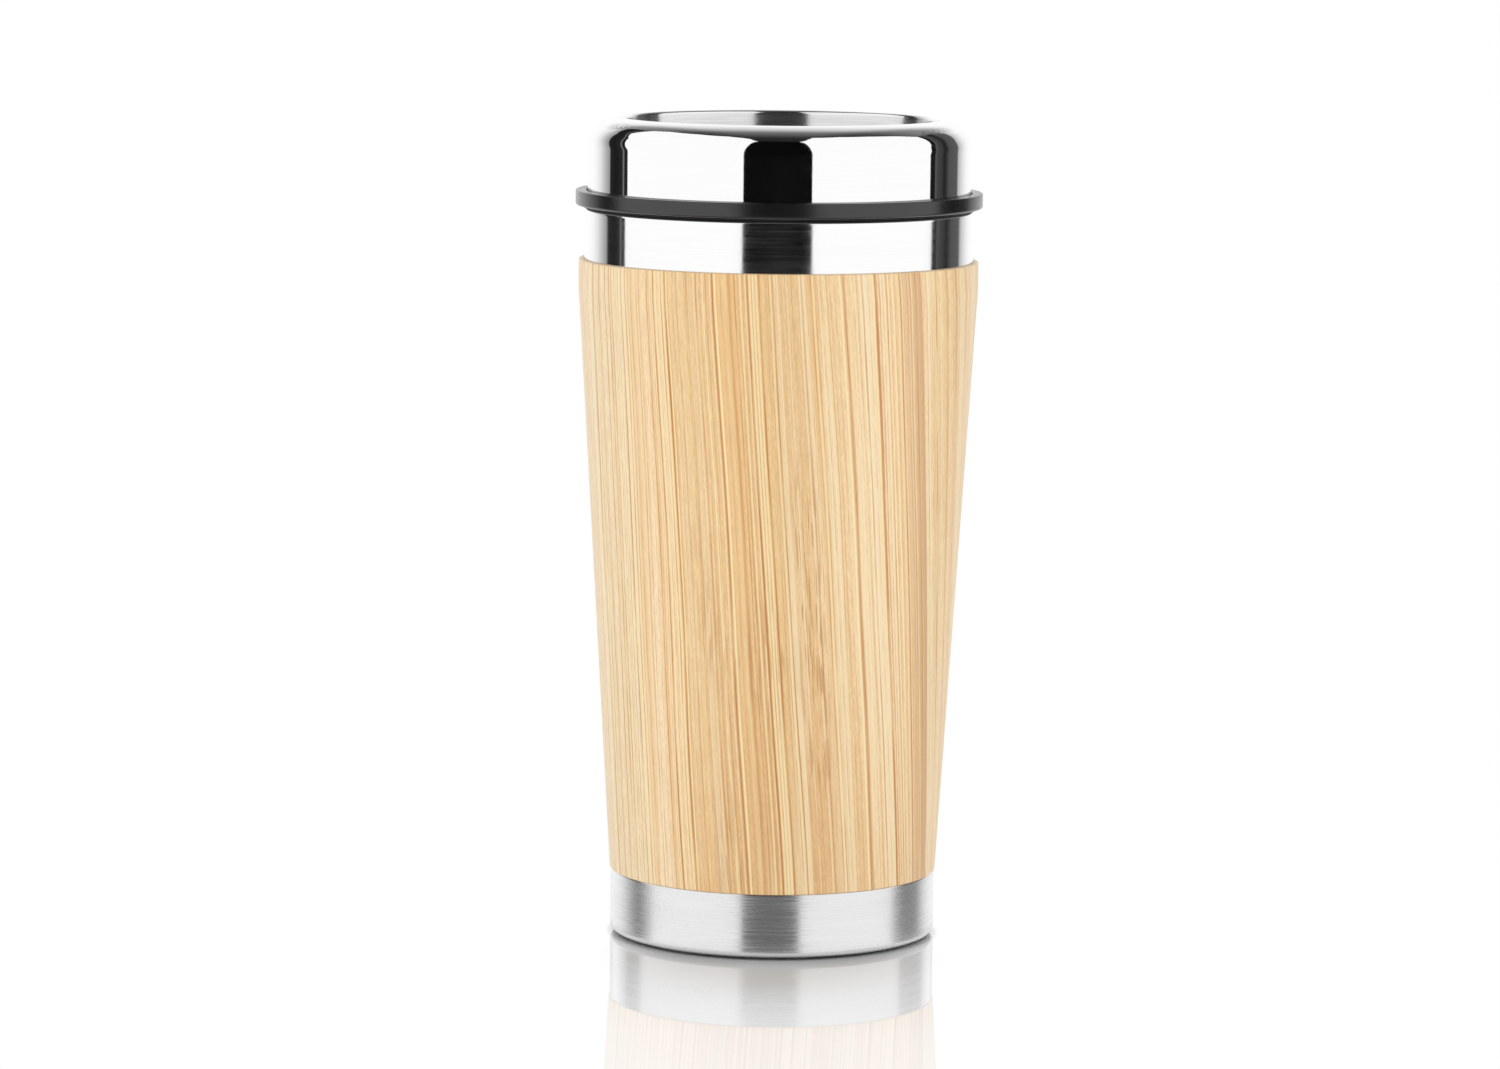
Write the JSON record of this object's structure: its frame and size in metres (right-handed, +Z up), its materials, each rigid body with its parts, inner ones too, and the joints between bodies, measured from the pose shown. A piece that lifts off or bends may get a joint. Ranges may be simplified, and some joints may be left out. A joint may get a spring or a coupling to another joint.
{
  "type": "travel mug",
  "caption": "Tapered double-walled steel travel mug with a bamboo sleeve, brushed base band and a push-on lid whose recessed slider opens a spout and a vent.",
  "frame": {"origin": "middle of the footprint, on the surface that the mug stands on", "axes": "+Z up along the mug's axis; the drinking spout lies towards -Y and the slider opens towards +Y; +X to the right when the spout faces the viewer"},
  "size_m": [0.087, 0.087, 0.1761],
  "materials": {
    "steel_polished": "mirror-polished stainless sheet",
    "steel_collar": "fine turned stainless sheet",
    "steel_brushed": "satin stainless, brushed round the band",
    "steel_inside": "plain drawn stainless sheet",
    "bamboo": "pale bamboo veneer, clear satin lacquer",
    "lid_black": "satin black polypropylene",
    "lid_grey": "dark grey polypropylene",
    "slider_black": "semi-gloss black polypropylene",
    "silicone_black": "matte black silicone",
    "silicone_clear": "milky translucent silicone",
    "foot_rubber": "matte dark rubber"
  },
  "bodies": {
    "cup": {"foot_pad": "foot_rubber", "base_cup": "steel_brushed", "shell_bottom_plate": "steel_inside", "outer_shell": "steel_collar", "inner_liner": "steel_inside", "bamboo_sleeve": "bamboo"},
    "gasket": {"rim_gasket": "silicone_black"},
    "lid": {"lid_body": "lid_black", "lid_underplate": "lid_grey", "plug_seal_lower": "silicone_clear", "plug_seal_upper": "silicone_clear", "lid_cover": "steel_polished"},
    "slider": {"slider": "slider_black", "slider_seal_pad": "silicone_clear", "slider_clip": "lid_grey"}
  },
  "joints": [
    {"name": "lid_lift", "type": "slide", "parent": "cup", "child": "gasket", "axis": [0, 0, 1], "range_m": [0, 0.06]},
    {"name": "lid_turn", "type": "hinge", "parent": "gasket", "child": "lid", "pos_m": [0, 0, 0.1573], "axis": [0, 0, 1], "continuous": true},
    {"name": "slider_travel", "type": "slide", "parent": "lid", "child": "slider", "axis": [0, 1, 0], "range_m": [0, 0.0159]}
  ]
}
